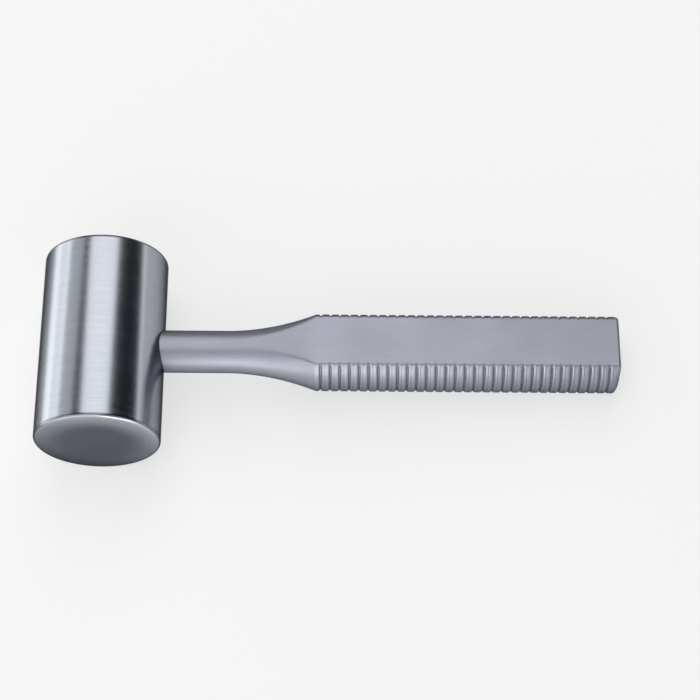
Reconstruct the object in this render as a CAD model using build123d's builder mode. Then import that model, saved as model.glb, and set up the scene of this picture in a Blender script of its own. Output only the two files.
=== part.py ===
from build123d import *
import math
import os

# A surgical mallet in millimetres. It is modelled square to its own axes, from the middle of the head:
# the handle runs along +X, the head's axis along Y and the grip's two flats face +Z and -Z.
# It is then laid down as it rests on a table, with +Z up and the origin on the table,
# under the middle of the mallet's overall box.

# Head
head_diameter = 40.0
head_length = 64.0
head_rim_bevel = 1.2

# Neck, and the root that is seated in the head
neck_diameter = 13.6
root_depth = 26.0
root_clearance = 0.05
root_chamfer = 0.8

# Flare and overall length, measured from the head's axis
flare_start = 40.5
flare_length = 28.0
handle_length = 165.0

# Grip section: two plain flats joined by two bulging sides
grip_width = 24.4
grip_thickness = 18.8
flat_width = 16.8
butt_edge_radius = 1.5

# Grooves across the bulging sides, with slanted flanks and a narrow floor
groove_pitch = 3.05
groove_width = 1.9
groove_floor = 0.6
groove_depth = 0.5

# Narrow strip on the round neck where each flat of the grip begins, and how the flare opens from it
neck_strip_width = 1.6
flare_sections = 5
flare_power = 1.85

# Sizes that follow from those above
head_radius = head_diameter / 2
neck_radius = neck_diameter / 2
root_start = head_radius - root_depth
grip_start = flare_start + flare_length
first_groove = grip_start + groove_pitch / 2
groove_count = int((handle_length - butt_edge_radius - grip_start) / groove_pitch)
side_bulge = (grip_width - flat_width) / 2
side_radius = ((grip_thickness / 2) ** 2 + side_bulge**2) / (2 * side_bulge)
side_centre = grip_width / 2 - side_radius


def handle_section(station, share):
    """Return the handle's section, from the round neck at share 0 to the full grip at share 1."""
    strip = neck_strip_width / 2
    strip_height = math.sqrt(neck_radius**2 - strip**2)
    half_width = neck_radius + share * (grip_width / 2 - neck_radius)
    half_flat = strip + share * (flat_width / 2 - strip)
    half_height = strip_height + share * (grip_thickness / 2 - strip_height)
    crown = half_height + (1 - share) * (neck_radius - strip_height)
    with BuildSketch(Plane.YZ.offset(station)) as section:
        with BuildLine():
            if share < 1:
                ThreePointArc((half_flat, half_height), (0, crown), (-half_flat, half_height))
                ThreePointArc((-half_flat, -half_height), (0, -crown), (half_flat, -half_height))
            else:
                Line((half_flat, half_height), (-half_flat, half_height))
                Line((-half_flat, -half_height), (half_flat, -half_height))
            ThreePointArc((-half_flat, half_height), (-half_width, 0), (-half_flat, -half_height))
            ThreePointArc((half_flat, -half_height), (half_width, 0), (half_flat, half_height))
        make_face()
    return section.sketch


# Head: a turned bar with a bevelled rim at each striking face and a blind cross bore for the root
with BuildPart() as head:
    with BuildSketch(Plane.XZ):
        Circle(head_radius)
    extrude(amount=head_length / 2, both=True)
    chamfer(head.edges().filter_by(GeomType.CIRCLE), head_rim_bevel)
    with BuildSketch(Plane.YZ.offset(root_start)):
        Circle(neck_radius + root_clearance)
    extrude(amount=root_depth + head_radius, mode=Mode.SUBTRACT)

# Grooves: half rings turned about the middle of a bulging side's curve, then mirrored to the other side.
# Each ring stands out past the ribs by the groove's own depth, on the same slanted flanks.
groove_mouth = 2 * groove_width - groove_floor
with BuildPart() as grooves:
    with BuildSketch(Plane.XY):
        for groove in range(groove_count):
            with Locations((first_groove + groove * groove_pitch, grip_width / 2)):
                Polygon(
                    (-groove_floor / 2, -groove_depth),
                    (groove_floor / 2, -groove_depth),
                    (groove_mouth / 2, groove_depth),
                    (-groove_mouth / 2, groove_depth),
                    align=None,
                )
    revolve(axis=Axis((0, side_centre, 0), (1, 0, 0)))
    split(bisect_by=Plane.XZ, keep=Keep.BOTTOM)
    mirror(about=Plane.XZ)

# Handle: root, neck, flare and grip in one piece, with the grooves cut last
flare_steps = [step / (flare_sections - 1) for step in range(flare_sections)]
flare_stack = [handle_section(flare_start + step * flare_length, step**flare_power) for step in flare_steps]
with BuildPart() as handle:
    extrude(handle_section(grip_start, 1), amount=handle_length - grip_start)
    fillet(handle.faces().sort_by(Axis.X)[-1].edges(), butt_edge_radius)
    loft(flare_stack)
    with BuildSketch(Plane.YZ.offset(root_start)):
        Circle(neck_radius)
    extrude(amount=flare_start - root_start)
    chamfer(handle.edges().group_by(Axis.X)[0], root_chamfer)
    add(grooves.part, mode=Mode.SUBTRACT)

# The slope at which the round head and the butt's rounded lower edge both touch the table
edge_along = handle_length - butt_edge_radius
edge_across = grip_thickness / 2 - butt_edge_radius
edge_reach = math.hypot(edge_along, edge_across)
slope = math.asin((head_radius - butt_edge_radius) / edge_reach) - math.atan2(edge_across, edge_along)

# Lay both pieces down with that slope, and centre the overall box over the origin
butt_reach = edge_along * math.cos(slope) + edge_across * math.sin(slope) + butt_edge_radius
laid_down = Location(((head_radius - butt_reach) / 2, 0, head_radius), (0, math.degrees(slope), 0))
head.part.locate(laid_down)
handle.part.locate(laid_down)

head.part.label = "head"
handle.part.label = "handle"

os.makedirs("parts", exist_ok=True)
export_step(head.part, "parts/head.step")
export_step(handle.part, "parts/handle.step")
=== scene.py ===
import bpy
import bmesh
import math
from mathutils import Matrix, Vector
from bpy.props import FloatProperty, FloatVectorProperty, PointerProperty


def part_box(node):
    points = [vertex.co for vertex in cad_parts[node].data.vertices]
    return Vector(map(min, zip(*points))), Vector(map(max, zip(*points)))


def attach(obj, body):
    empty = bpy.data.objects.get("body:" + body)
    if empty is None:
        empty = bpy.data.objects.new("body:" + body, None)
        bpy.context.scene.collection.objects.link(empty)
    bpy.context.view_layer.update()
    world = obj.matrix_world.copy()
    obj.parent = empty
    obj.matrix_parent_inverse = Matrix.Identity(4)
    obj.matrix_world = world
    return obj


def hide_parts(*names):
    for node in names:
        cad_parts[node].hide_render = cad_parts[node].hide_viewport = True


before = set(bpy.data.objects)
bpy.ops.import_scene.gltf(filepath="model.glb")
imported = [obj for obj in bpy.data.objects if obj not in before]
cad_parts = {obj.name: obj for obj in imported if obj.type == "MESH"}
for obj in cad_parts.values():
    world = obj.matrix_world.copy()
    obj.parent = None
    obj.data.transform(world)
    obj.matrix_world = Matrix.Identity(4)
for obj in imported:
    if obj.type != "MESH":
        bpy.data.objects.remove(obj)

bl_info = {
    "name": "Surgical mallet",
    "version": (1, 0, 0),
    "blender": (4, 5, 0),
    "location": "View3D > Sidebar > Mallet",
    "description": "Models a surgical mallet: a turned steel head on a ribbed satin steel handle",
    "category": "Add Mesh",
}

# A millimetre in Blender's metres
MM = 0.001

# The mallet lies on its side. Its own axes run from the middle of the head: the handle along X,
# the head's axis along Y, the grip's flats facing up and down.
HEAD_LOW, HEAD_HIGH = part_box("head")
HEAD_CENTRE = (HEAD_LOW + HEAD_HIGH) / 2
HEAD_RADIUS = (HEAD_HIGH.z - HEAD_LOW.z) / 2


def linear_colour(code):
    """Return a hex sRGB colour, such as "c0c4cc", as linear red, green and blue."""
    shares = [int(code[place:place + 2], 16) / 255 for place in (0, 2, 4)]
    return [share / 12.92 if share <= 0.04045 else ((share + 0.055) / 1.055) ** 2.4 for share in shares]


class HeadSettings(bpy.types.PropertyGroup):
    """Sizes and finish of the head"""

    diameter: FloatProperty(
        name="Diameter", description="Outer diameter of the turned head",
        default=2 * HEAD_RADIUS, unit="LENGTH", subtype="DISTANCE")
    length: FloatProperty(
        name="Length", description="From one striking face to the other",
        default=HEAD_HIGH.y - HEAD_LOW.y, unit="LENGTH", subtype="DISTANCE")
    rim_radius: FloatProperty(
        name="Rim radius", description="Rounding between the wall and each striking face",
        default=1.2 * MM, unit="LENGTH", subtype="DISTANCE")
    bore_clearance: FloatProperty(
        name="Bore clearance", description="Gap all round the handle's root in the bore",
        default=0.05 * MM, unit="LENGTH", subtype="DISTANCE")
    mouth_bevel: FloatProperty(
        name="Mouth bevel", description="Broken edge where the bore meets the wall",
        default=0.25 * MM, unit="LENGTH", subtype="DISTANCE")
    colour: FloatVectorProperty(
        name="Colour", description="Colour of the turned steel",
        default=linear_colour("a7abb2"), subtype="COLOR", min=0, max=1)
    roughness: FloatProperty(
        name="Roughness", description="How far the turned surface blurs a reflection",
        default=0.21, min=0, max=1, subtype="FACTOR")
    edge_tint: FloatProperty(
        name="Edge tint", description="How bright the surface stays where it turns away from the eye",
        default=0.1, min=0, max=1, subtype="FACTOR")
    # Darkness of the striking faces: partly their ground finish, partly painted shade
    face_finish_and_painted_shade: FloatProperty(
        name="Face shade", description="Brightness of the ground striking faces against the wall",
        default=0.58, min=0, max=1, subtype="FACTOR")
    # Painted shade on the rounded rims
    rim_painted_shade: FloatProperty(
        name="Rim shade", description="Brightness of the rounded rims against the wall",
        default=0.6, min=0, max=1, subtype="FACTOR")
    line_spacing: FloatProperty(
        name="Turning lines", description="Spacing of the fine lines left by turning",
        default=0.55 * MM, unit="LENGTH", subtype="DISTANCE")
    line_fade: FloatProperty(
        name="Line fade", description="How often a turning line fades in and out on its way round",
        default=1.8, min=0)


class HandleSettings(bpy.types.PropertyGroup):
    """Sizes and finish of the handle"""

    length: FloatProperty(
        name="Length", description="From the head's axis to the butt",
        default=165 * MM, unit="LENGTH", subtype="DISTANCE")
    neck_diameter: FloatProperty(
        name="Neck diameter", description="Diameter of the round neck",
        default=13.6 * MM, unit="LENGTH", subtype="DISTANCE")
    root_depth: FloatProperty(
        name="Root depth", description="How deep the root goes into the head's wall",
        default=26 * MM, unit="LENGTH", subtype="DISTANCE")
    root_chamfer: FloatProperty(
        name="Root chamfer", description="Chamfer at the end of the root",
        default=0.8 * MM, unit="LENGTH", subtype="DISTANCE")
    flare_start: FloatProperty(
        name="Flare start", description="From the head's axis to where the neck begins to widen",
        default=40.5 * MM, unit="LENGTH", subtype="DISTANCE")
    flare_length: FloatProperty(
        name="Flare length", description="Length over which the neck widens to the grip",
        default=28 * MM, unit="LENGTH", subtype="DISTANCE")
    flare_softness: FloatProperty(
        name="Flare softness", description="Share of the flare's rise over which each flat levels out",
        default=0.3, min=0, max=1, subtype="FACTOR")
    neck_strip: FloatProperty(
        name="Neck strip", description="Width of each flat where it begins on the neck",
        default=1.6 * MM, unit="LENGTH", subtype="DISTANCE")
    grip_width: FloatProperty(
        name="Grip width", description="Across the two bulging sides",
        default=24.4 * MM, unit="LENGTH", subtype="DISTANCE")
    grip_thickness: FloatProperty(
        name="Grip thickness", description="Across the two flats",
        default=18.8 * MM, unit="LENGTH", subtype="DISTANCE")
    flat_width: FloatProperty(
        name="Flat width", description="Width of each plain flat",
        default=16.8 * MM, unit="LENGTH", subtype="DISTANCE")
    edge_softness: FloatProperty(
        name="Edge softness", description="Rounding where a flat meets a bulging side",
        default=0.6 * MM, unit="LENGTH", subtype="DISTANCE")
    butt_edge_radius: FloatProperty(
        name="Butt edge radius", description="Rounding of the butt's lower edge, on which the mallet rests",
        default=1.5 * MM, unit="LENGTH", subtype="DISTANCE")
    butt_side_radius: FloatProperty(
        name="Butt side radius", description="Rounding of the butt's edge on the bulging sides",
        default=2.3 * MM, unit="LENGTH", subtype="DISTANCE")
    butt_flat_radius: FloatProperty(
        name="Butt flat radius", description="Rounding of the butt's edge on the flats",
        default=0.7 * MM, unit="LENGTH", subtype="DISTANCE")
    butt_run_out: FloatProperty(
        name="Butt run-out", description="Angle over which the butt's rounding grows from a flat",
        default=math.radians(30), unit="ROTATION", subtype="ANGLE")
    groove_pitch: FloatProperty(
        name="Groove pitch", description="Spacing of the grooves",
        default=3.05 * MM, unit="LENGTH", subtype="DISTANCE")
    groove_floor: FloatProperty(
        name="Groove floor", description="Width of a groove at its floor",
        default=0.25 * MM, unit="LENGTH", subtype="DISTANCE")
    groove_depth: FloatProperty(
        name="Groove depth", description="Depth of a groove below the ribs",
        default=0.5 * MM, unit="LENGTH", subtype="DISTANCE")
    groove_run_out: FloatProperty(
        name="Groove run-out", description="Angle over which a groove grows shallow towards a flat",
        default=math.radians(7), unit="ROTATION", subtype="ANGLE")
    line_place: FloatProperty(
        name="Line place", description="From a groove to the fine line along the rib after it",
        default=1.27 * MM, unit="LENGTH", subtype="DISTANCE")
    line_width: FloatProperty(
        name="Line width", description="Width of the fine line along each rib",
        default=0.7 * MM, unit="LENGTH", subtype="DISTANCE")
    line_depth: FloatProperty(
        name="Line depth", description="Depth of the fine line along each rib",
        default=0.05 * MM, unit="LENGTH", subtype="DISTANCE")
    # Painted shade in the grooves
    groove_painted_shade: FloatProperty(
        name="Groove shade", description="Brightness of a groove's floor against the ribs",
        default=0.68, min=0, max=1, subtype="FACTOR")
    # Painted shade along the ribs' fine lines
    rib_line_painted_shade: FloatProperty(
        name="Line shade", description="Brightness of a rib's fine line against the rib",
        default=0.78, min=0, max=1, subtype="FACTOR")
    colour: FloatVectorProperty(
        name="Colour", description="Colour of the satin steel",
        default=linear_colour("999ca6"), subtype="COLOR", min=0, max=1)
    roughness: FloatProperty(
        name="Roughness", description="How far the satin surface blurs a reflection",
        default=0.48, min=0, max=1, subtype="FACTOR")
    edge_tint: FloatProperty(
        name="Edge tint", description="How bright the surface stays where it turns away from the eye",
        default=0, min=0, max=1, subtype="FACTOR")
    grain_size: FloatProperty(
        name="Grain size", description="Size of the fine satin grain",
        default=0.35 * MM, unit="LENGTH", subtype="DISTANCE")


class StageSettings(bpy.types.PropertyGroup):
    """Floor, light and camera"""

    floor_size: FloatProperty(
        name="Floor size", description="Length of each side of the floor",
        default=30, unit="LENGTH", subtype="DISTANCE")
    floor_colour: FloatVectorProperty(
        name="Floor colour", description="Colour of the pale floor",
        default=linear_colour("f9f9f9"), subtype="COLOR", min=0, max=1)
    floor_glow: FloatProperty(
        name="Floor glow", description="Share of the floor's brightness that no shadow takes away",
        default=0.64, min=0, max=1, subtype="FACTOR")
    lens: FloatProperty(
        name="Lens", description="Focal length on a 36 mm wide sensor, in millimetres",
        default=108.5, min=1)
    surround: FloatProperty(
        name="Surround", description="Brightness of the dark studio round the lamps",
        default=0.01, min=0)
    surround_colour: FloatVectorProperty(
        name="Surround colour", description="Colour of the dark studio round the lamps",
        default=linear_colour("8fb4ff"), subtype="COLOR", min=0, max=1)


def resting_slope(sizes):
    """Return the slope at which the round head and the butt's lower edge both touch the table."""
    along = sizes.length - sizes.butt_edge_radius
    across = sizes.grip_thickness / 2 - sizes.butt_edge_radius
    reach = math.hypot(along, across)
    return math.asin((HEAD_RADIUS - sizes.butt_edge_radius) / reach) - math.atan2(across, along)


def mallet_axes(sizes):
    """Return the matrix from the mallet's own axes to the table."""
    return Matrix.Translation(HEAD_CENTRE) @ Matrix.Rotation(resting_slope(sizes), 4, "Y")


def lay_down(piece, sizes):
    """Put a piece that was modelled in the mallet's own axes in its place on the table."""
    piece.matrix_world = mallet_axes(sizes)
    bpy.ops.object.select_all(action="DESELECT")
    piece.select_set(True)
    bpy.context.view_layer.objects.active = piece
    bpy.ops.object.transform_apply(location=True, rotation=True, scale=True)


def select_parts(piece, kind, wanted):
    """In edit mode, select the piece's faces or edges for which wanted is true, and nothing else."""
    bpy.ops.mesh.select_all(action="DESELECT")
    bpy.ops.mesh.select_mode(type=kind)
    form = bmesh.from_edit_mesh(piece.data)
    parts = form.faces if kind == "FACE" else form.edges
    for part in parts:
        if wanted(part):
            part.select = True
    form.select_flush_mode()
    bmesh.update_edit_mesh(piece.data)


def add_node(tree, kind, inputs=None, **settings):
    """Add a node, set its settings, and give its inputs values or links from other nodes."""
    node = tree.nodes.new(kind)
    for name, value in settings.items():
        setattr(node, name, value)
    for name, value in (inputs or {}).items():
        if isinstance(value, bpy.types.NodeSocket):
            tree.links.new(value, node.inputs[name])
        else:
            node.inputs[name].default_value = value
    return node


def new_material(name):
    """Return a new material and its node tree, emptied."""
    material = bpy.data.materials.new(name)
    material.use_nodes = True
    material.node_tree.nodes.clear()
    return material, material.node_tree


# The noise textures rarely leave this range
NOISE_RANGE = {"From Min": 0.3, "From Max": 0.7}

# Turned wall: how far the roughness strays, the darkest line and cloud, and the size of the clouds
LINE_ROUGHNESS = 0.02
LINE_DARKEST = 0.92
CLOUD_DARKEST = 0.97
CLOUD_SIZE = 9 * MM
# Height of the lines, and how strongly they turn highlights
LINE_HEIGHT = 0.004 * MM
LINE_RELIEF = 0.12
# How far the lines draw a highlight out along the head's axis
HIGHLIGHT_STRETCH = 0.5

# Painted light on a striking face: where it begins, as a share of the radius, and the way to its brightest
# side
PAINTED_LIGHT_START = 0.45
PAINTED_LIGHT_HEADING = (0.4, 0, 0.92)
# Painted brightness at the rim's darkest and brightest side, against the middle of the face, and how far
# each lies from the middle along that way, as a share of the radius
PAINTED_LIGHT_LEAST = 0.8
PAINTED_LIGHT_MOST = 2.5
PAINTED_LIGHT_REACH = 0.8
# Distances behind the face between which its painted tone gives way to the rim's painted shade
FACE_ENDS = 0.15 * MM
RIM_BEGINS = 0.3 * MM
# Distances before and past the rim's end between which the rim's painted shade gives way to the wall's own
# tone
RIM_ENDS = 0.1 * MM
WALL_BEGINS = 0.15 * MM


def turned_steel(settings):
    """Stainless steel turned on a lathe: bright, with fine lines that draw highlights out along the axis.

    Real turning lines lie about 0.1 mm apart, too close to show, so they are drawn coarser. The striking
    faces and rims carry painted shade, and painted light along their upper rims.
    """
    material, tree = new_material("turned_steel")
    place = add_node(tree, "ShaderNodeTexCoord").outputs["Object"]
    centred = add_node(tree, "ShaderNodeMapping", {"Vector": place, "Location": -HEAD_CENTRE})
    parts = add_node(tree, "ShaderNodeSeparateXYZ", {"Vector": centred.outputs["Vector"]})
    radial = add_node(tree, "ShaderNodeCombineXYZ", {"X": parts.outputs["X"], "Z": parts.outputs["Z"]})
    radius = add_node(tree, "ShaderNodeVectorMath", {0: radial.outputs["Vector"]}, operation="LENGTH")
    heading = add_node(tree, "ShaderNodeVectorMath", {0: radial.outputs["Vector"]}, operation="NORMALIZE")
    # Each line fades in and out again several times on its way round
    heading_on = add_node(
        tree, "ShaderNodeVectorMath", {0: heading.outputs["Vector"], "Scale": settings.line_fade},
        operation="SCALE")
    # The tool's path runs along the wall and then in over the face, so the two distances are added
    path = add_node(
        tree, "ShaderNodeMath", {0: parts.outputs["Y"], 1: radius.outputs["Value"]}, operation="ADD")
    lines_across = add_node(
        tree, "ShaderNodeCombineXYZ",
        {"Y": add_node(
            tree, "ShaderNodeMath", {0: path.outputs["Value"], 1: 1 / settings.line_spacing},
            operation="MULTIPLY").outputs["Value"]})
    line_place = add_node(
        tree, "ShaderNodeVectorMath",
        {0: heading_on.outputs["Vector"], 1: lines_across.outputs["Vector"]}, operation="ADD")
    lines = add_node(
        tree, "ShaderNodeTexNoise",
        {"Vector": line_place.outputs["Vector"], "Scale": 1.0, "Detail": 2.0, "Roughness": 0.5})
    clouds = add_node(
        tree, "ShaderNodeTexNoise",
        {"Vector": centred.outputs["Vector"], "Scale": 1 / CLOUD_SIZE, "Detail": 2.0})
    line_roughness = add_node(
        tree, "ShaderNodeMapRange",
        {**NOISE_RANGE, "Value": lines.outputs["Fac"],
         "To Min": settings.roughness - LINE_ROUGHNESS, "To Max": settings.roughness + LINE_ROUGHNESS})
    shade = add_node(
        tree, "ShaderNodeMapRange",
        {**NOISE_RANGE, "Value": lines.outputs["Fac"], "To Min": LINE_DARKEST, "To Max": 1.0})
    cloud_shade = add_node(
        tree, "ShaderNodeMapRange",
        {**NOISE_RANGE, "Value": clouds.outputs["Fac"], "To Min": CLOUD_DARKEST, "To Max": 1.0})
    # The striking faces are ground flat, and are darker than the turned wall both as ground steel and as
    # painted shade.
    # Painted light makes each lighter towards its upper rim, and painted shade a little darker along its
    # lower one.
    across = add_node(tree, "ShaderNodeMath", {0: parts.outputs["Y"]}, operation="ABSOLUTE")
    from_face = add_node(
        tree, "ShaderNodeMath", {0: settings.length / 2, 1: across.outputs["Value"]}, operation="SUBTRACT")
    head_radius = settings.diameter / 2
    upwards = add_node(
        tree, "ShaderNodeVectorMath", {0: centred.outputs["Vector"], 1: PAINTED_LIGHT_HEADING},
        operation="DOT_PRODUCT")
    # Painted light: the face is lighter towards its upper rim and darker towards its lower rim
    painted_rim_light = add_node(
        tree, "ShaderNodeMapRange",
        {"Value": upwards.outputs["Value"], "From Min": -PAINTED_LIGHT_REACH * head_radius,
         "From Max": PAINTED_LIGHT_REACH * head_radius, "To Min": PAINTED_LIGHT_LEAST * settings.face_finish_and_painted_shade,
         "To Max": PAINTED_LIGHT_MOST * settings.face_finish_and_painted_shade})
    # Painted face tone: darker in the middle of the face, with painted light towards its rim
    painted_face_tone = add_node(
        tree, "ShaderNodeMapRange",
        {"Value": radius.outputs["Value"], "From Min": PAINTED_LIGHT_START * head_radius,
         "From Max": head_radius - settings.rim_radius / 2, "To Min": settings.face_finish_and_painted_shade,
         "To Max": painted_rim_light.outputs["Result"]}, interpolation_type="SMOOTHSTEP")
    # Painted shade on the rim, then the wall's own tone past it
    painted_rim_tone = add_node(
        tree, "ShaderNodeMapRange",
        {"Value": from_face.outputs["Value"], "From Min": FACE_ENDS, "From Max": RIM_BEGINS,
         "To Min": painted_face_tone.outputs["Result"], "To Max": settings.rim_painted_shade})
    tone_with_painted_shade = add_node(
        tree, "ShaderNodeMapRange",
        {"Value": from_face.outputs["Value"], "From Min": settings.rim_radius - RIM_ENDS,
         "From Max": settings.rim_radius + WALL_BEGINS, "To Min": painted_rim_tone.outputs["Result"], "To Max": 1.0})
    on_wall = add_node(
        tree, "ShaderNodeMath", {0: shade.outputs["Result"], 1: cloud_shade.outputs["Result"]},
        operation="MULTIPLY")
    # The lines' and clouds' own tone, times the painted shade and light of the faces and rims
    both = add_node(
        tree, "ShaderNodeMath", {0: on_wall.outputs["Value"], 1: tone_with_painted_shade.outputs["Result"]},
        operation="MULTIPLY")
    colour = add_node(
        tree, "ShaderNodeVectorMath", {0: tuple(settings.colour), "Scale": both.outputs["Value"]},
        operation="SCALE")
    bump = add_node(
        tree, "ShaderNodeBump",
        {"Height": lines.outputs["Fac"], "Strength": LINE_RELIEF, "Distance": LINE_HEIGHT})
    tangent = add_node(tree, "ShaderNodeTangent", direction_type="RADIAL", axis="Y")
    shader = add_node(
        tree, "ShaderNodeBsdfPrincipled",
        {"Base Color": colour.outputs["Vector"], "Metallic": 1.0,
         "Roughness": line_roughness.outputs["Result"],
         "Specular Tint": (*[settings.edge_tint] * 3, 1), "Anisotropic": HIGHLIGHT_STRETCH,
         "Tangent": tangent.outputs["Tangent"], "Normal": bump.outputs["Normal"]})
    add_node(tree, "ShaderNodeOutputMaterial", {"Surface": shader.outputs["BSDF"]})
    return material


# Satin finish: how far the roughness strays and over what distance, and the darkest grain and streak
SATIN_ROUGHNESS = 0.03
SATIN_PATCH = 18 * MM
SATIN_DARKEST = 0.95
# Length, width and depth of the faint streaks that run along the handle
STREAK_SIZE = (14 * MM, 0.8 * MM, 3 * MM)
# Height of the grain, and how strongly it turns highlights
GRAIN_HEIGHT = 0.02 * MM
GRAIN_RELIEF = 0.2


def satin_steel(settings):
    """Stainless steel with a blasted satin finish: soft broad reflections and a very fine grain.

    Real blasting leaves a grain of about 0.05 mm, too fine to show, so it is drawn coarser. The grooves and
    the ribs' fine lines carry painted shade.
    """
    material, tree = new_material("satin_steel")
    place = add_node(tree, "ShaderNodeTexCoord").outputs["Object"]
    grain = add_node(
        tree, "ShaderNodeTexNoise",
        {"Vector": place, "Scale": 1 / settings.grain_size, "Detail": 2.0, "Roughness": 0.6})
    drawn_out = add_node(
        tree, "ShaderNodeMapping",
        {"Vector": place, "Rotation": (0, -resting_slope(settings), 0),
         "Scale": tuple(1 / size for size in STREAK_SIZE)})
    streaks = add_node(
        tree, "ShaderNodeTexNoise", {"Vector": drawn_out.outputs["Vector"], "Scale": 1.0, "Detail": 3.0})
    patches = add_node(
        tree, "ShaderNodeTexNoise", {"Vector": place, "Scale": 1 / SATIN_PATCH, "Detail": 2.0})
    grain_shade = add_node(
        tree, "ShaderNodeMapRange",
        {**NOISE_RANGE, "Value": grain.outputs["Fac"], "To Min": SATIN_DARKEST, "To Max": 1.0})
    streak_shade = add_node(
        tree, "ShaderNodeMapRange",
        {**NOISE_RANGE, "Value": streaks.outputs["Fac"], "To Min": SATIN_DARKEST, "To Max": 1.0})
    finish = add_node(
        tree, "ShaderNodeMath", {0: grain_shade.outputs["Result"], 1: streak_shade.outputs["Result"]},
        operation="MULTIPLY")
    # Painted shade: the grooves and the ribs' fine lines are drawn darker
    cut = add_node(tree, "ShaderNodeAttribute", attribute_name="painted_groove_shade")
    both = add_node(
        tree, "ShaderNodeMath", {0: finish.outputs["Value"], 1: cut.outputs["Fac"]}, operation="MULTIPLY")
    colour = add_node(
        tree, "ShaderNodeVectorMath", {0: tuple(settings.colour), "Scale": both.outputs["Value"]},
        operation="SCALE")
    roughness = add_node(
        tree, "ShaderNodeMapRange",
        {**NOISE_RANGE, "Value": patches.outputs["Fac"],
         "To Min": settings.roughness - SATIN_ROUGHNESS, "To Max": settings.roughness + SATIN_ROUGHNESS})
    bump = add_node(
        tree, "ShaderNodeBump",
        {"Height": grain.outputs["Fac"], "Strength": GRAIN_RELIEF, "Distance": GRAIN_HEIGHT})
    shader = add_node(
        tree, "ShaderNodeBsdfPrincipled",
        {"Base Color": colour.outputs["Vector"], "Metallic": 1.0,
         "Roughness": roughness.outputs["Result"],
         "Specular Tint": (*[settings.edge_tint] * 3, 1), "Normal": bump.outputs["Normal"]})
    add_node(tree, "ShaderNodeOutputMaterial", {"Surface": shader.outputs["BSDF"]})
    return material


def pale_floor(settings):
    """Matte pale board. It glows a little to the eye and in metal, and still takes the mallet's shadow."""
    material, tree = new_material("pale_floor")
    ray = add_node(tree, "ShaderNodeLightPath").outputs
    seen = add_node(
        tree, "ShaderNodeMath", {0: ray["Is Camera Ray"], 1: ray["Is Glossy Ray"]}, operation="MAXIMUM")
    shown = add_node(
        tree, "ShaderNodeMath", {0: seen.outputs["Value"], 1: ray["Is Transmission Ray"]},
        operation="MAXIMUM")
    share = add_node(
        tree, "ShaderNodeMath", {0: shown.outputs["Value"], 1: settings.floor_glow}, operation="MULTIPLY")
    board = add_node(tree, "ShaderNodeBsdfDiffuse", {"Color": (*settings.floor_colour, 1)})
    glow = add_node(tree, "ShaderNodeEmission", {"Color": (*settings.floor_colour, 1), "Strength": 1.0})
    mixed = add_node(
        tree, "ShaderNodeMixShader",
        {0: share.outputs["Value"], 1: board.outputs["BSDF"], 2: glow.outputs["Emission"]})
    add_node(tree, "ShaderNodeOutputMaterial", {"Surface": mixed.outputs["Shader"]})
    return material


# Flat facets that make up the head's round wall and its bore, and steps that round its edges
WALL_FACETS = 256
BORE_FACETS = 160
RIM_STEPS = 8
MOUTH_STEPS = 2
# Angle below which neighbouring faces of the head are shaded as one. It is more than a step of the rim
# and less than a step of the bore's mouth, so that the wall's long faces keep their own even shading.
HEAD_SMOOTHING = math.radians(15)
# How much of a striking face's normal lies along the head's axis, before and after its rim is rounded
FACE_ON = 0.9
FACE_FLAT = 0.9999
# How near to a surface an edge lies that is picked out as part of it
NEAR = 0.1 * MM
# Points of the wall and of the bore that lie closer than this become one
SAME_POINT = 0.03 * MM


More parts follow.
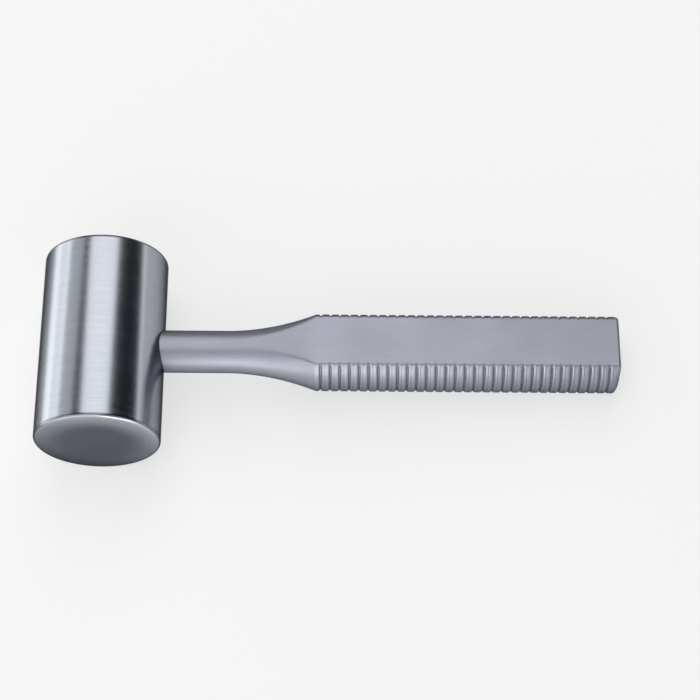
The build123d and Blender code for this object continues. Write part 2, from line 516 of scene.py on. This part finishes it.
class MALLET_OT_head(bpy.types.Operator):
    """Turn the head with its rounded rims and bore it for the handle"""

    bl_idname = "mallet.head"
    bl_label = "Head"

    def execute(self, context):
        sizes = context.scene.mallet_head
        handle = context.scene.mallet_handle
        radius = sizes.diameter / 2
        bpy.ops.object.select_all(action="DESELECT")
        # Half a facet's turn about the head's axis keeps the wall's long edges from running into the bore's
        # mouth nearly along it, where its bevel would be drawn out into a line
        bpy.ops.mesh.primitive_cylinder_add(
            vertices=WALL_FACETS, radius=radius, depth=sizes.length,
            location=HEAD_CENTRE, rotation=(math.pi / 2, math.pi / WALL_FACETS, 0))
        head = context.active_object
        head.name = "turned_head"
        bpy.ops.object.transform_apply(location=True, rotation=True, scale=True)
        bpy.ops.object.mode_set(mode="EDIT")
        select_parts(head, "FACE", lambda face: abs(face.normal.y) > FACE_ON)
        bpy.ops.mesh.region_to_loop()
        bpy.ops.mesh.bevel(offset=sizes.rim_radius, segments=RIM_STEPS)
        select_parts(head, "FACE", lambda face: abs(face.normal.y) > FACE_FLAT)
        bpy.ops.mesh.inset(thickness=sizes.rim_radius)
        bpy.ops.object.mode_set(mode="OBJECT")

        bore_length = handle.root_depth + radius
        bpy.ops.object.select_all(action="DESELECT")
        bpy.ops.mesh.primitive_cylinder_add(
            vertices=BORE_FACETS, radius=handle.neck_diameter / 2 + sizes.bore_clearance, depth=bore_length,
            location=(radius - handle.root_depth + bore_length / 2, 0, 0), rotation=(0, math.pi / 2, 0))
        drill = context.active_object
        bpy.ops.object.transform_apply(location=True, rotation=True, scale=True)
        lay_down(drill, handle)
        bpy.ops.object.select_all(action="DESELECT")
        head.select_set(True)
        context.view_layer.objects.active = head
        bore = head.modifiers.new("bore", "BOOLEAN")
        bore.operation = "DIFFERENCE"
        bore.solver = "EXACT"
        bore.object = drill
        bpy.ops.object.modifier_apply(modifier=bore.name)
        bpy.data.objects.remove(drill)

        to_mallet = mallet_axes(handle).inverted()
        wall_reach = radius - NEAR
        mouth_reach = handle.neck_diameter / 2 + sizes.bore_clearance + NEAR

        def round_mouth(edge):
            middle = to_mallet @ ((edge.verts[0].co + edge.verts[1].co) / 2)
            on_wall = math.hypot(middle.x, middle.z) > wall_reach
            return on_wall and middle.x > 0 and math.hypot(middle.y, middle.z) < mouth_reach

        bpy.ops.object.mode_set(mode="EDIT")
        bpy.ops.mesh.select_all(action="SELECT")
        bpy.ops.mesh.remove_doubles(threshold=SAME_POINT)
        select_parts(head, "EDGE", round_mouth)
        bpy.ops.mesh.bevel(offset=sizes.mouth_bevel, segments=MOUTH_STEPS, clamp_overlap=False)
        bpy.ops.object.mode_set(mode="OBJECT")
        bpy.ops.object.shade_smooth_by_angle(angle=HEAD_SMOOTHING)

        head.data.materials.clear()
        head.data.materials.append(turned_steel(sizes))
        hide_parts("head")
        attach(head, "root")
        return {"FINISHED"}


# How late the flare opens on its way from the neck to the grip. At 1 it would open evenly.
FLARE_POWER = 1.85
# How sharply a rib's crest turns down into the groove
RIB_ROUNDNESS = 5
# Share of a groove's depth that is left where it meets a flat
GROOVE_AT_FLAT = 0.25
# Spacing of the rings of points along the neck and along the flare, and their number round the butt's edge
NECK_STEP = 3 * MM
FLARE_STEP = 0.8 * MM
BUTT_RINGS = 14
# Places of the rings of points from one groove to the next, closest in the groove and at the fine line
RING_SHARES = (0.04, 0.08, 0.13, 0.19, 0.25, 0.3, 0.34, 0.38, 0.42, 0.46,
               0.5, 0.55, 0.62, 0.7, 0.77, 0.83, 0.88, 0.92, 0.96, 1.0)
# Points in a ring, and how strongly they crowd together where the flats meet the sides
RING_POINTS = 132
CORNER_CROWDING = 0.15
# Angle below which neighbouring faces of the handle are shaded as one
HANDLE_SMOOTHING = math.radians(40)
# Points closer than this are merged where the grid's two long edges meet
SEAM = 0.001 * MM
# Lets in a last groove that rounding of the sizes would drop
ROUNDING = 1e-4
# Keeps divisions away from zero
TINY = 1e-7


def circle_reach(centre, radius, angle):
    """Return how far a ray from the axis at that angle runs to a circle centred at that place across."""
    return centre * math.cos(angle) + math.sqrt(radius**2 - (centre * math.sin(angle)) ** 2)


def groove_places(sizes):
    """Return the places along the handle where the grooves are cut."""
    grip_start = sizes.flare_start + sizes.flare_length
    count = int((sizes.length - sizes.butt_edge_radius - grip_start) / sizes.groove_pitch + ROUNDING)
    return [grip_start + (groove + 0.5) * sizes.groove_pitch for groove in range(count)]


def rib_form(sizes, along, grooves):
    """Return how deep a groove, and a rib's fine line, is at that place along the grip, each from 0 to 1."""
    half_floor = sizes.groove_floor / 2
    from_groove = min(abs(along - groove) for groove in grooves)
    up_flank = max(from_groove - half_floor, 0) / (sizes.groove_pitch / 2 - half_floor)
    from_line = min(abs(along - groove - sizes.line_place) for groove in grooves)
    into_line = max(1 - (2 * from_line / sizes.line_width) ** 2, 0)
    return max(1 - up_flank, 0) ** RIB_ROUNDNESS, into_line**2


def soft_minimum(first, second, softness):
    """Return the smaller of two values, rounded off where they lie closer together than the softness."""
    near = max(softness - abs(first - second), 0)
    return min(first, second) - (near**2 / (4 * softness) if softness > 0 else 0)


def smooth_share(share):
    """Return a share held between 0 and 1, and eased at both ends."""
    share = min(max(share, 0), 1)
    return share * share * (3 - 2 * share)


def edge_drop(radius, past_start):
    """Return how far a rounded edge has fallen, that far past the start of its rounding."""
    if past_start <= 0:
        return 0
    return radius - math.sqrt(max(radius**2 - past_start**2, 0))


def handle_reach(sizes, along, angle, rib_drop):
    """Return the distance from the handle's axis to its surface at that place and angle.

    On the bulging sides it is nearer by rib_drop, less so beside the flats.
    """
    neck = sizes.neck_diameter / 2
    strip = sizes.neck_strip / 2
    strip_height = math.sqrt(neck**2 - strip**2)
    opening = max((along - sizes.flare_start) / sizes.flare_length, 0) ** FLARE_POWER
    share = min(opening, 1)
    half_width = neck + share * (sizes.grip_width / 2 - neck)
    half_flat = strip + share * (sizes.flat_width / 2 - strip)
    rise = soft_minimum(opening, 1, sizes.flare_softness)
    half_height = strip_height + rise * (sizes.grip_thickness / 2 - strip_height)
    crown = (1 - share) * (neck - strip_height)

    bulge = half_width - half_flat
    side_radius = (half_height**2 + bulge**2) / (2 * bulge)
    beside = math.atan2(abs(math.sin(angle)), abs(math.cos(angle)))
    side = circle_reach(half_width - side_radius, side_radius, beside)
    from_flat = math.atan2(half_height, half_flat) - beside
    full_depth = smooth_share(from_flat / sizes.groove_run_out)
    side -= rib_drop * (GROOVE_AT_FLAT + (1 - GROOVE_AT_FLAT) * full_depth)
    rounding = sizes.butt_flat_radius + (sizes.butt_side_radius - sizes.butt_flat_radius) * smooth_share(
        from_flat / sizes.butt_run_out)
    side -= edge_drop(rounding, along - sizes.length + rounding)
    half_height -= edge_drop(sizes.butt_flat_radius, along - sizes.length + sizes.butt_flat_radius)

    if crown > TINY:
        crown_radius = (half_flat**2 + crown**2) / (2 * crown)
        flat = circle_reach(half_height + crown - crown_radius, crown_radius, math.pi / 2 - beside)
    else:
        flat = half_height / max(math.sin(beside), TINY)

    reach = soft_minimum(side, flat, sizes.edge_softness * share)
    root_start = HEAD_RADIUS - sizes.root_depth
    return reach - max(root_start + sizes.root_chamfer - along, 0), side < flat


def handle_stations(sizes):
    """Return the places along the handle that get a ring of points, closest where the form changes most."""
    root_start = HEAD_RADIUS - sizes.root_depth
    grip_start = sizes.flare_start + sizes.flare_length
    places = [root_start, root_start + sizes.root_chamfer]
    stretches = (
        (root_start + sizes.root_chamfer, sizes.flare_start, NECK_STEP),
        (sizes.flare_start, grip_start, FLARE_STEP),
    )
    for start, end, step in stretches:
        steps = math.ceil((end - start) / step)
        places += [start + (end - start) * ring / steps for ring in range(1, steps + 1)]
    grooves = groove_places(sizes)
    butt_start = sizes.length - sizes.butt_side_radius
    # The first rib begins half a pitch before the first groove
    places += [grooves[0] - share * sizes.groove_pitch for share in reversed(RING_SHARES) if share < 0.5]
    places.append(grooves[0])
    for groove in grooves:
        rings = [groove + share * sizes.groove_pitch for share in RING_SHARES]
        places += [ring for ring in rings if ring < butt_start]
    left = sizes.length - places[-1]
    turns = [math.pi / 2 * ring / BUTT_RINGS for ring in range(1, BUTT_RINGS + 1)]
    places += [places[-1] + left * math.sin(turn) for turn in turns]
    return places


def section_angles():
    """Return the angles round the handle, drawn closer together where the flats meet the sides."""
    even = [2 * math.pi * point / RING_POINTS for point in range(RING_POINTS + 1)]
    return [angle + CORNER_CROWDING * math.sin(4 * angle) for angle in even]


class MALLET_OT_handle(bpy.types.Operator):
    """Wrap a grid round the handle's section, from the root to the butt, and close both ends"""

    bl_idname = "mallet.handle"
    bl_label = "Handle"

    def execute(self, context):
        sizes = context.scene.mallet_handle
        places = handle_stations(sizes)
        grooves = groove_places(sizes)
        angles = section_angles()
        bpy.ops.object.select_all(action="DESELECT")
        bpy.ops.mesh.primitive_grid_add(
            x_subdivisions=len(places) - 1, y_subdivisions=len(angles) - 1, size=2, location=(0, 0, 0))
        handle = context.active_object
        handle.name = "ribbed_handle"
        if len(handle.data.vertices) != len(places) * len(angles):
            raise RuntimeError("the grid doesn't have a point for each station and angle")
        forms = [rib_form(sizes, along, grooves) for along in places]
        # Painted shade for the grooves and the ribs' fine lines, kept on each point
        painted_shade_values = handle.data.attributes.new("painted_groove_shade", "FLOAT", "POINT")
        for point in handle.data.vertices:
            ring = round((point.co.x + 1) / 2 * (len(places) - 1))
            along = places[ring]
            angle = angles[round((point.co.y + 1) / 2 * (len(angles) - 1))]
            groove, line = forms[ring]
            rib_drop = sizes.groove_depth * groove + sizes.line_depth * line
            reach, on_side = handle_reach(sizes, along, angle, rib_drop)
            point.co = (along, reach * math.cos(angle), reach * math.sin(angle))
            # Painted shade in the grooves and along the ribs' fine lines, on the bulging sides only
            shade = (1 - (1 - sizes.groove_painted_shade) * groove) * (1 - (1 - sizes.rib_line_painted_shade) * line)
            painted_shade_values.data[point.index].value = shade if on_side else 1

        bpy.ops.object.mode_set(mode="EDIT")
        bpy.ops.mesh.select_all(action="SELECT")
        bpy.ops.mesh.remove_doubles(threshold=SEAM)
        bpy.ops.mesh.fill_holes(sides=0)
        select_parts(handle, "FACE", lambda face: len(face.verts) > 4)
        bpy.ops.mesh.inset(thickness=sizes.root_chamfer)
        bpy.ops.mesh.select_all(action="SELECT")
        bpy.ops.mesh.normals_make_consistent(inside=False)
        bpy.ops.object.mode_set(mode="OBJECT")
        bpy.ops.object.shade_smooth_by_angle(angle=HANDLE_SMOOTHING)
        lay_down(handle, sizes)

        handle.data.materials.clear()
        handle.data.materials.append(satin_steel(sizes))
        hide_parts("handle")
        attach(handle, "root")
        return {"FINISHED"}


# The lamps stand round the origin and face it. Turn is to the right and tilt to the back, both in degrees
# from straight above. Distance, width, length and shift are in metres.
LAMPS = (
    # The broad light band down the middle of the head, and the light on the flats
    dict(name="overhead_softbox", turn=-0.5, tilt=21, distance=1.2, width=1.0, length=2.08, brightness=1.9),
    # The light band at the head's left, the duller stretch beside it, and the head's left edge
    dict(name="left_softbox", turn=-79.5, tilt=10, distance=1.4, width=0.63, length=2.6, brightness=1.8),
    dict(name="left_fill", turn=-55, tilt=15, distance=1.5, width=0.8, length=2.0, brightness=0.82),
    dict(name="left_low_panel", turn=-90, tilt=0, distance=0.2, width=0.07, length=0.6, brightness=1.8,
         only_in_metal=True),
    # The narrow light strip at the head's right
    dict(name="right_strip", turn=83.3, tilt=20, distance=1.4, width=0.17, length=2.4, brightness=1.9),
    # The ribbed side, brighter towards the head, and the rim of the near face
    dict(name="front_softbox", turn=0, tilt=-63, distance=1.4, width=2.1, length=1.56, brightness=1.7,
         shift=-0.85),
    dict(name="front_right_softbox", turn=0, tilt=-64, distance=1.4, width=1.9, length=1.5, brightness=0.75,
         shift=1.15),
    dict(name="front_low_panel", turn=0, tilt=-90, distance=0.13, width=0.12, length=0.1, brightness=2.7,
         shift=-0.005, only_in_metal=True),
)

# The camera, in the mallet's own axes: its place, the point that it looks at, and its roll in radians
CAMERA_PLACE = Vector((71.1, -302.1, 605.9)) * MM
CAMERA_TARGET = Vector((79.4, 1.1, 0)) * MM
CAMERA_ROLL = 0.002
# Width of the camera's sensor in millimetres
SENSOR_WIDTH = 36


def add_softbox(name, turn, tilt, distance, width, length, brightness, shift=0, only_in_metal=False):
    """Hang a rectangular lamp facing the mallet, turned round the head's axis from straight above.

    At a brightness of 1 it would look white in a mirror. The shift moves it sideways along its own width.
    """
    turn, tilt = math.radians(turn), math.radians(tilt)
    away = Vector((math.sin(turn) * math.cos(tilt), math.sin(tilt), math.cos(turn) * math.cos(tilt)))
    across = Vector((math.cos(turn), 0, -math.sin(turn)))
    lamp = bpy.data.lights.new(name, "AREA")
    lamp.shape = "RECTANGLE"
    lamp.size, lamp.size_y = width, length
    lamp.energy = brightness * math.pi * width * length
    softbox = bpy.data.objects.new(name, lamp)
    bpy.context.scene.collection.objects.link(softbox)
    turned = Matrix((across, away.cross(across), away)).transposed().to_4x4()
    softbox.matrix_world = Matrix.Translation(away * distance + across * shift) @ turned
    softbox.visible_camera = False
    softbox.visible_diffuse = not only_in_metal


class MALLET_OT_stage(bpy.types.Operator):
    """Lay the pale floor, hang the soft lamps and set the camera"""

    bl_idname = "mallet.stage"
    bl_label = "Stage"

    def execute(self, context):
        stage = context.scene.mallet_stage
        bpy.ops.object.select_all(action="DESELECT")
        bpy.ops.mesh.primitive_plane_add(size=stage.floor_size, location=(0, 0, 0))
        floor = context.active_object
        floor.name = "floor"
        floor.data.materials.append(pale_floor(stage))

        for lamp in LAMPS:
            add_softbox(**lamp)

        world = bpy.data.worlds.new("studio")
        context.scene.world = world
        world.use_nodes = True
        world.node_tree.nodes.clear()
        dark = add_node(
            world.node_tree, "ShaderNodeBackground",
            {"Color": (*stage.surround_colour, 1), "Strength": stage.surround})
        add_node(world.node_tree, "ShaderNodeOutputWorld", {"Surface": dark.outputs["Background"]})
        context.scene.view_settings.view_transform = "Standard"

        # The camera looks steeply down, from the side of the near striking face
        axes = mallet_axes(context.scene.mallet_handle)
        forward = (CAMERA_TARGET - CAMERA_PLACE).normalized()
        side = forward.cross(Vector((0, 1, 0))).normalized()
        over = side.cross(forward)
        level = Matrix((side, over, -forward)).transposed().to_4x4()
        lens = bpy.data.cameras.new("camera")
        lens.sensor_width = SENSOR_WIDTH
        lens.lens = stage.lens
        camera = bpy.data.objects.new("camera", lens)
        context.scene.collection.objects.link(camera)
        turned = level @ Matrix.Rotation(CAMERA_ROLL, 4, "Z")
        camera.matrix_world = axes @ Matrix.Translation(CAMERA_PLACE) @ turned
        context.scene.camera = camera
        return {"FINISHED"}


class MALLET_PT_sidebar(bpy.types.Panel):
    """List the mallet's pieces and their sizes"""

    bl_label = "Surgical mallet"
    bl_idname = "MALLET_PT_sidebar"
    bl_space_type = "VIEW_3D"
    bl_region_type = "UI"
    bl_category = "Mallet"

    def draw(self, context):
        groups = (
            ("mallet.head", context.scene.mallet_head),
            ("mallet.handle", context.scene.mallet_handle),
            ("mallet.stage", context.scene.mallet_stage),
        )
        for operator, settings in groups:
            box = self.layout.box()
            box.operator(operator)
            for name in settings.__annotations__:
                box.prop(settings, name)


CLASSES = (
    HeadSettings, HandleSettings, StageSettings,
    MALLET_OT_head, MALLET_OT_handle, MALLET_OT_stage, MALLET_PT_sidebar,
)


def register():
    for entry in CLASSES:
        bpy.utils.register_class(entry)
    bpy.types.Scene.mallet_head = PointerProperty(type=HeadSettings)
    bpy.types.Scene.mallet_handle = PointerProperty(type=HandleSettings)
    bpy.types.Scene.mallet_stage = PointerProperty(type=StageSettings)


def unregister():
    del bpy.types.Scene.mallet_stage
    del bpy.types.Scene.mallet_handle
    del bpy.types.Scene.mallet_head
    for entry in reversed(CLASSES):
        bpy.utils.unregister_class(entry)


def main():
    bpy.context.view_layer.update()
    register()
    bpy.ops.mallet.head()
    bpy.ops.mallet.handle()
    bpy.ops.mallet.stage()


if __name__ == "__main__":
    main()
